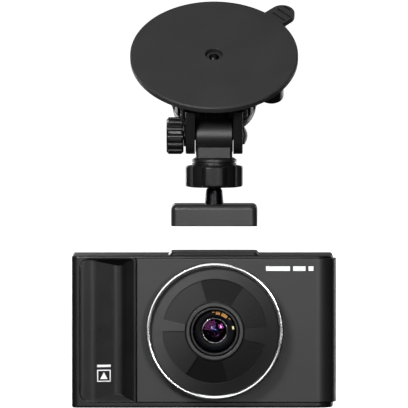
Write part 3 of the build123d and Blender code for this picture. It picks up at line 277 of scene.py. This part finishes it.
def dish_material():
    """lens dish: smooth outer annulus, then a pinwheel of fields, some smooth, some with a leather-like grain"""
    m, nt, bs = new_mat("dish_plastic")
    co = obj_coords(nt)
    ang, rad, x, z = polar_fields(nt, co)
    d = 1 / 360
    dark, dark2, mid, light = (0.0030,) * 3, (0.0008,) * 3, (0.022,) * 3, (0.042,) * 3
    fields = ramp(nt, ang, [
        (0.0, dark), (33.5 * d, mid), (85.5 * d, light), (105 * d, (0.016,) * 3), (165.8 * d, dark2),
        (212.7 * d, mid), (270 * d, light), (282.2 * d, mid), (344 * d, dark)], "CONSTANT")
    grainy = ramp(nt, ang, [
        (0.0, (0.35,) * 3), (33.5 * d, (1,) * 3), (85.5 * d, (0.05,) * 3), (105 * d, (1,) * 3), (165.8 * d, (0.5,) * 3),
        (212.7 * d, (1,) * 3), (270 * d, (0.05,) * 3), (282.2 * d, (1,) * 3), (344 * d, (0.35,) * 3)], "CONSTANT")
    band = mathn(nt, "MULTIPLY", maprange(nt, rad, 16.88, 16.92, 1.0, 0.0), maprange(nt, rad, 9.6, 9.65, 0.0, 1.0))
    broad = noise(nt, 110.0, 3.0, 0.5, co)
    annulus = ramp(nt, broad, [(0.3, (0.038,) * 3), (0.7, (0.043,) * 3)])
    col = mixcol(nt, band, annulus, fields)
    # painted light and shade: the base colour is lighter at the upper left and darker towards the lower right, as if
    # lit from the upper left
    toward_lower_right = mathn(nt, "SUBTRACT", x, mathn(nt, "MULTIPLY", z, 0.8))
    painted_light_fade = ramp(nt, maprange(nt, toward_lower_right, -0.024, 0.022, 0.0, 1.0, True), [(0.0, (1.05,) * 3), (0.5, (0.52,) * 3), (1.0, (0.16,) * 3)])
    col = mixcol(nt, 1.0, col, painted_light_fade, "MULTIPLY")
    nt.links.new(col, bs.inputs["Base Color"])
    vor = nt.nodes.new("ShaderNodeTexVoronoi")
    vor.inputs["Scale"].default_value = 1500.0
    nt.links.new(co, vor.inputs["Vector"])
    fine = noise(nt, 4200.0, 2.0, 0.6, co)
    h = mathn(nt, "ADD", mathn(nt, "MULTIPLY", mathn(nt, "MULTIPLY", vor.outputs["Distance"], mathn(nt, "MULTIPLY", grainy, band)), 1.0), mathn(nt, "MULTIPLY", fine, 0.15))
    bp = nt.nodes.new("ShaderNodeBump")
    bp.inputs["Strength"].default_value = 0.75
    bp.inputs["Distance"].default_value = 0.00006
    nt.links.new(h, bp.inputs["Height"])
    bv = nt.nodes.new("ShaderNodeBevel")
    bv.samples = 4
    bv.inputs["Radius"].default_value = 0.10 * MM
    nt.links.new(bv.outputs["Normal"], bp.inputs["Normal"])
    nt.links.new(bp.outputs["Normal"], bs.inputs["Normal"])
    nt.links.new(maprange(nt, fine, 0.3, 0.7, 0.40, 0.50), bs.inputs["Roughness"])
    bs.inputs["Specular IOR Level"].default_value = 0.10
    return m


M["dish_plastic"] = dish_material()


def chrome_material():
    m, nt, bs = new_mat("chrome_trim")
    co = obj_coords(nt)
    ang, rad, x, z = polar_fields(nt, co)
    turned = nt.nodes.new("ShaderNodeTexNoise")
    turned.noise_dimensions = "1D"
    turned.inputs["Scale"].default_value = 26.0
    nt.links.new(rad, turned.inputs["W"])
    sm = noise(nt, 140.0, 4.0, 0.6, co)
    nt.links.new(ramp(nt, sm, [(0.3, (0.58, 0.58, 0.59)), (0.7, (0.70, 0.70, 0.71))]), bs.inputs["Base Color"])
    bs.inputs["Metallic"].default_value = 1.0
    nt.links.new(mathn(nt, "ADD", maprange(nt, turned.outputs["Fac"], 0.3, 0.7, 0.10, 0.22), maprange(nt, sm, 0.3, 0.8, 0.0, 0.05)), bs.inputs["Roughness"])
    bp = nt.nodes.new("ShaderNodeBump")
    bp.inputs["Strength"].default_value = 0.15
    bp.inputs["Distance"].default_value = 0.00002
    nt.links.new(turned.outputs["Fac"], bp.inputs["Height"])
    nt.links.new(bp.outputs["Normal"], bs.inputs["Normal"])
    return m


M["chrome_trim"] = chrome_material()

slot_of = {s["node"]: s["material_slot"] for s in frame["record"]["subparts"]}
for name, ob in nodes.items():
    ob.data.materials.clear()
    ob.data.materials.append(M[slot_of[name]])
nodes["second_lens"].data.materials[0] = glass("coated_glass_blue", (0.45, 0.60, 0.98), 355.0, 1.36)
nodes["lens_collar"].data.materials[0] = plastic("collar_satin", (0.014, 0.014, 0.014), 0.38, grain=5200, bump=0.1, wear=0.5)
nodes["ring_nut"].data.materials[0] = plastic("nut_plastic", (0.005, 0.005, 0.0053), 0.38, grain=3600, bump=0.22, wear=0.5, spec=0.22)
nodes["foot_shell"].data.materials[0] = plastic("foot_plastic", (0.010, 0.010, 0.0103), 0.38, grain=3600, bump=0.18, wear=0.4, spec=0.45)


# ------------------------------------------------------------------ extra pieces
def mesh_obj(name, verts, faces, mat, body, smooth=False):
    me = bpy.data.meshes.new(name)
    me.from_pydata([tuple(v) for v in verts], [], faces)
    me.update()
    if smooth:
        for p in me.polygons:
            p.use_smooth = True
    ob = bpy.data.objects.new(name, me)
    scene.collection.objects.link(ob)
    me.materials.append(mat)
    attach(ob, body)
    return ob


def turned(name, profile, mat, body, cx=LX, cz=LZ, seg=96, smooth=True, closed=True, a0=0.0, a1=2 * math.pi):
    """profile of (r, y) in mm turned about the lens axis"""
    full = abs(a1 - a0 - 2 * math.pi) < 1e-6
    n = seg if full else seg + 1
    verts, faces = [], []
    for i in range(n):
        t = a0 + (a1 - a0) * i / seg
        for r, y in profile:
            verts.append((cx + r * MM * math.sin(t), y * MM, cz + r * MM * math.cos(t)))
    k = len(profile)
    for i in range(seg):
        j = (i + 1) % n
        for p in range(k if closed else k - 1):
            q = (p + 1) % k
            faces.append((i * k + p, i * k + q, j * k + q, j * k + p))
    if not full and closed:
        faces.append(tuple(range(k)))
        faces.append(tuple(reversed(range((n - 1) * k, n * k))))
    return mesh_obj(name, verts, faces, mat, body, smooth)


ink_white = plastic("print_white", (0.72, 0.72, 0.72), 0.5, grain=3000, bump=0.1, wear=0.0, mottling=0.06)
ink_orange = plastic("print_orange", (0.52, 0.23, 0.03), 0.5, grain=3000, bump=0.1, wear=0.0, mottling=0.15)
ink_yellow = plastic("print_yellow", (0.80, 0.68, 0.30), 0.5, grain=3000, bump=0.1, wear=0.0, mottling=0.1)

LENS_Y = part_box("front_lens")[0][1] * 1000.0        # apex of the front element, mm


# iris and retaining rings seen through the front element
turned("lens_iris", [(1.1, LENS_Y + 4.15), (6.1, LENS_Y + 4.05), (6.1, LENS_Y + 4.2), (1.1, LENS_Y + 4.35)], M["lens_black"], "camera")
turned("lens_stop", [(2.15, LENS_Y + 2.95), (2.3, LENS_Y + 2.85), (4.0, LENS_Y + 4.0), (3.9, LENS_Y + 4.1)], plastic("stop_black", (0.02, 0.02, 0.021), 0.25, grain=5200, bump=0.05), "camera")

# black ring in front of the element's rim, with its polished inner edge
ring_black = plastic("ring_black", (0.0016, 0.0017, 0.0030), 0.42, grain=5200, bump=0.04, wear=0.0, spec=0.05, bevel=0.05)
turned("name_ring", [(4.05, LENS_Y + 0.05), (4.25, LENS_Y - 0.12), (6.4, LENS_Y + 0.02), (6.86, LENS_Y + 0.30), (6.86, LENS_Y + 1.2), (4.05, LENS_Y + 0.30)], ring_black, "camera")
turned("name_ring_edge", [(3.86, LENS_Y + 0.28), (3.90, LENS_Y + 0.02), (4.02, LENS_Y - 0.06), (4.05, LENS_Y + 0.02), (4.05, LENS_Y + 0.30)], metal("edge_metal", (0.42, 0.42, 0.44), 0.18), "camera")

# plain tick marks printed on that ring, in groups
ticks = [(-8, 3), (-3, 2)] + [(4 + 3.6 * k, 2.3) for k in range(4)] + [(23 + 4.2 * k, 2.9) for k in range(5)] + [(49, 1.6), (53, 1.6)]
for i, (deg, span) in enumerate(ticks):
    a = math.radians(deg)
    r0 = 5.25 if 3 < deg < 45 else 5.8
    turned(f"lens_tick_{i}", [(r0, LENS_Y - 0.07), (6.38, LENS_Y - 0.01), (6.38, LENS_Y + 0.06), (r0, LENS_Y + 0.04)], ink_orange, "camera", seg=4, a0=a, a1=a + math.radians(span), smooth=False)
turned("lens_index_dot", [(5.75, LENS_Y - 0.06), (6.4, LENS_Y - 0.01), (6.4, LENS_Y + 0.06), (5.75, LENS_Y + 0.04)], ink_yellow, "camera", seg=6, a0=math.radians(76), a1=math.radians(86), smooth=False)


# ------------------------------------------------------------------ plain printed marks
def surface_of(name):
    ob = nodes[name]
    me = ob.data
    vs = [ob.matrix_world @ v.co for v in me.vertices]
    return BVHTree.FromPolygons(vs, [tuple(p.vertices) for p in me.polygons])


def printed(name, node, strips, mat, body, side=-1, nx=6, nz=6):
    """thin ink film that follows a surface; each strip is (z0, z1, left0, right0, left1, right1) in mm"""
    tree = surface_of(node)
    verts, faces = [], []
    for z0, z1, l0, r0, l1, r1 in strips:
        base = len(verts)
        for layer in (0, 1):
            for j in range(nz + 1):
                t = j / nz
                z = (z0 + (z1 - z0) * t) * MM
                left, right = (l0 + (l1 - l0) * t) * MM, (r0 + (r1 - r0) * t) * MM
                for i in range(nx + 1):
                    x = left + (right - left) * i / nx
                    hit = tree.ray_cast(Vector((x, side * 0.2, z)), Vector((0, -side, 0)))[0]
                    y = hit.y if hit else 0.0
                    verts.append((x, y + side * (0.025 * MM if layer == 0 else -0.03 * MM), z))
        n = (nx + 1) * (nz + 1)
        at = lambda lay, i, j: base + lay * n + j * (nx + 1) + i
        for j in range(nz):
            for i in range(nx):
                faces.append((at(0, i, j), at(0, i + 1, j), at(0, i + 1, j + 1), at(0, i, j + 1)))
                faces.append((at(1, i, j), at(1, i, j + 1), at(1, i + 1, j + 1), at(1, i + 1, j)))
        for i in range(nx):
            faces.append((at(0, i, 0), at(1, i, 0), at(1, i + 1, 0), at(0, i + 1, 0)))
            faces.append((at(0, i, nz), at(0, i + 1, nz), at(1, i + 1, nz), at(1, i, nz)))
        for j in range(nz):
            faces.append((at(0, 0, j), at(0, 0, j + 1), at(1, 0, j + 1), at(1, 0, j)))
            faces.append((at(0, nx, j), at(1, nx, j), at(1, nx, j + 1), at(0, nx, j + 1)))
    return mesh_obj(name, verts, faces, mat, body)


def box_strip(x0, x1, z0, z1):
    return (z0, z1, x0, x1, x0, x1)


top_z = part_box("front_fascia")[1][2] * 1000.0
mark_z = top_z - 3.3
printed("mark_fascia", "front_fascia", [
    box_strip(16.8, 24.6, mark_z - 0.75, mark_z + 0.75), box_strip(25.6, 29.6, mark_z - 0.75, mark_z + 0.75),
    box_strip(30.6, 32.2, mark_z - 0.75, mark_z + 0.75)], ink_white, "camera")
bz = top_z - 37.3                       # middle of the badge on the grip
printed("mark_grip", "grip_panel", [
    box_strip(-38.0, -33.6, bz + 1.9, bz + 2.7),
    box_strip(-38.0, -33.6, bz + 0.7, bz + 1.05), box_strip(-38.0, -33.6, bz - 2.85, bz - 2.5),
    box_strip(-38.0, -37.65, bz - 2.5, bz + 0.7), box_strip(-33.95, -33.6, bz - 2.5, bz + 0.7),
    (bz - 2.0, bz + 0.2, -37.0, -34.6, -35.85, -35.75)], ink_white, "camera")
key_ink = plastic("key_ink", (0.55, 0.55, 0.56), 0.5, grain=3000, bump=0.05, wear=0.0, mottling=0.05)
for key, shapes in {
    "menu_key": [(-0.9, 0.9, 0.45, 0.7), (-0.9, 0.9, -0.12, 0.12), (-0.9, 0.9, -0.7, -0.45)],
    "ok_key": [(-0.7, 0.7, 0.45, 0.7), (-0.7, 0.7, -0.7, -0.45), (-0.7, -0.45, -0.45, 0.45), (0.45, 0.7, -0.45, 0.45)],
    "power_key": [(-0.12, 0.12, 0.0, 0.85), (-0.75, 0.75, -0.75, -0.5), (-0.75, -0.5, -0.5, 0.45), (0.5, 0.75, -0.5, 0.45)],
}.items():
    lo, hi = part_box(key)
    kx, kz = (lo[0] + hi[0]) * 500.0, (lo[2] + hi[2]) * 500.0
    printed("mark_" + key, key, [box_strip(kx + a, kx + b, kz + c, kz + d) for a, b, c, d in shapes], key_ink, key + "_body", side=1, nx=2, nz=2)
for key, up in (("up_key", 1), ("down_key", -1)):
    lo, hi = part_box(key)
    kx, kz = (lo[0] + hi[0]) * 500.0, (lo[2] + hi[2]) * 500.0
    z0, z1 = kz - 0.6 * up, kz + 0.6 * up
    printed("mark_" + key, key, [(z0, z1, kx - 0.8, kx + 0.8, kx - 0.04, kx + 0.04)], key_ink, key + "_body", side=1, nx=2, nz=4)

# the camera hangs from the windscreen, so the floor lies clear below it
floor_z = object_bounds()[0][2] - 0.04
# ------------------------------------------------------------------ floor, light, camera
def sweep_floor():
    z0 = floor_z
    pts = [(-3.4, z0), (3.4, z0)]
    for i in range(1, 13):
        t = math.pi / 2 * i / 12
        pts.append((3.4 + 0.8 * math.sin(t), z0 + 0.8 * (1 - math.cos(t))))
    pts.append((4.2, z0 + 3.2))
    verts = [(x, y, z) for x in (-3.6, 3.6) for y, z in pts]
    k = len(pts)
    faces = [(i, i + 1, k + i + 1, k + i) for i in range(k - 1)]
    me = bpy.data.meshes.new("studio_floor")
    me.from_pydata(verts, [], faces)
    for p in me.polygons:
        p.use_smooth = True
    ob = bpy.data.objects.new("studio_floor", me)
    scene.collection.objects.link(ob)
    m, nt, bs = new_mat("floor_white")
    n = noise(nt, 6.0, 2.0, 0.5)
    nt.links.new(ramp(nt, n, [(0.3, (0.93, 0.93, 0.93)), (0.7, (0.95, 0.95, 0.95))]), bs.inputs["Base Color"])
    bs.inputs["Roughness"].default_value = 0.7
    bs.inputs["Specular IOR Level"].default_value = 0.1
    bs.inputs["Emission Color"].default_value = (1, 1, 1, 1)
    bs.inputs["Emission Strength"].default_value = 1.0
    me.materials.append(m)
    ob.visible_glossy = False
    ob.visible_diffuse = False
    ob.visible_transmission = False
    return ob


sweep_floor()


def softbox(name, loc, target, size, power, size_y=None, color=(1, 1, 1)):
    ld = bpy.data.lights.new(name, "AREA")
    ld.shape = "RECTANGLE"
    ld.size = size
    ld.size_y = size_y or size
    ld.energy = power
    ld.color = color
    ob = bpy.data.objects.new(name, ld)
    scene.collection.objects.link(ob)
    ob.location = loc
    d = Vector(target) - Vector(loc)
    ob.rotation_euler = d.to_track_quat("-Z", "Y").to_euler()
    ob.visible_camera = False
    return ob


softbox("front_panel", (-0.50, -2.7, 0.42), (0, 0, -0.07), 1.2, 9.5, 1.1)
softbox("key_light", (-0.95, -1.8, 0.85), (0, -0.01, -0.05), 0.7, 13.0, 0.7)
softbox("lens_light", (0.55, -2.2, 0.20), (0, -0.02, -0.09), 0.45, 4.5, 0.45)
softbox("lens_spark", (0.40, -1.5, 0.10), (0, -0.02, -0.09), 0.15, 4.5, 0.15)
softbox("arm_kicker", (-0.16, -0.40, 0.14), (0, 0, -0.03), 0.12, 2.6, 0.07)
softbox("left_strip", (-0.45, 0.55, 0.0), (0, 0.0, -0.08), 0.15, 2.6, 0.7)
softbox("right_strip", (0.45, 0.55, 0.0), (0, 0.0, -0.08), 0.15, 1.4, 0.7)
softbox("back_fill", (-0.55, 2.3, 0.20), (0, 0, -0.08), 0.8, 7.0, 0.8)
softbox("top_light", (0.0, -0.15, 0.80), (0, 0.0, -0.03), 0.5, 1.4, 0.4)

world = bpy.data.worlds.new("studio")
scene.world = world
world.use_nodes = True
wn = world.node_tree
wn.nodes.clear()
wo = wn.nodes.new("ShaderNodeOutputWorld")
mix = wn.nodes.new("ShaderNodeMixShader")
lp = wn.nodes.new("ShaderNodeLightPath")
dim = wn.nodes.new("ShaderNodeBackground")
# the room: a white wall behind, dark flags at the sides and in front, a little light from above
wco = wn.nodes.new("ShaderNodeTexCoord").outputs["Generated"]
wsep = wn.nodes.new("ShaderNodeSeparateXYZ")
wn.links.new(wco, wsep.inputs[0])
behind = maprange(wn, wsep.outputs["Y"], 0.35, 0.95, 0.0, 0.10, True)
above = maprange(wn, wsep.outputs["Z"], 0.2, 1.0, 0.0, 0.06, True)
wn.links.new(mathn(wn, "ADD", mathn(wn, "ADD", behind, above), 0.018), dim.inputs["Strength"])
dim.inputs["Color"].default_value = (1, 1, 1, 1)
bright = wn.nodes.new("ShaderNodeBackground")
bright.inputs["Color"].default_value = (1, 1, 1, 1)
bright.inputs["Strength"].default_value = 1.0
wn.links.new(lp.outputs["Is Camera Ray"], mix.inputs[0])
wn.links.new(dim.outputs[0], mix.inputs[1])
wn.links.new(bright.outputs[0], mix.inputs[2])
wn.links.new(mix.outputs[0], wo.inputs["Surface"])

elev = math.radians(2.3)
aim = Vector((-3.3 * MM, -12 * MM, -48.54 * MM))
dist = 2.2
cam_data = bpy.data.cameras.new("view")
cam_data.sensor_width = 36.0
cam_data.lens = 36.0 * dist / 0.1326
cam_data.clip_start = 0.05
cam_data.clip_end = 20.0
cam = bpy.data.objects.new("view", cam_data)
scene.collection.objects.link(cam)
cam.location = aim + Vector((0, -math.cos(elev), math.sin(elev))) * dist
cam.rotation_euler = (aim - cam.location).to_track_quat("-Z", "Y").to_euler()
scene.camera = cam
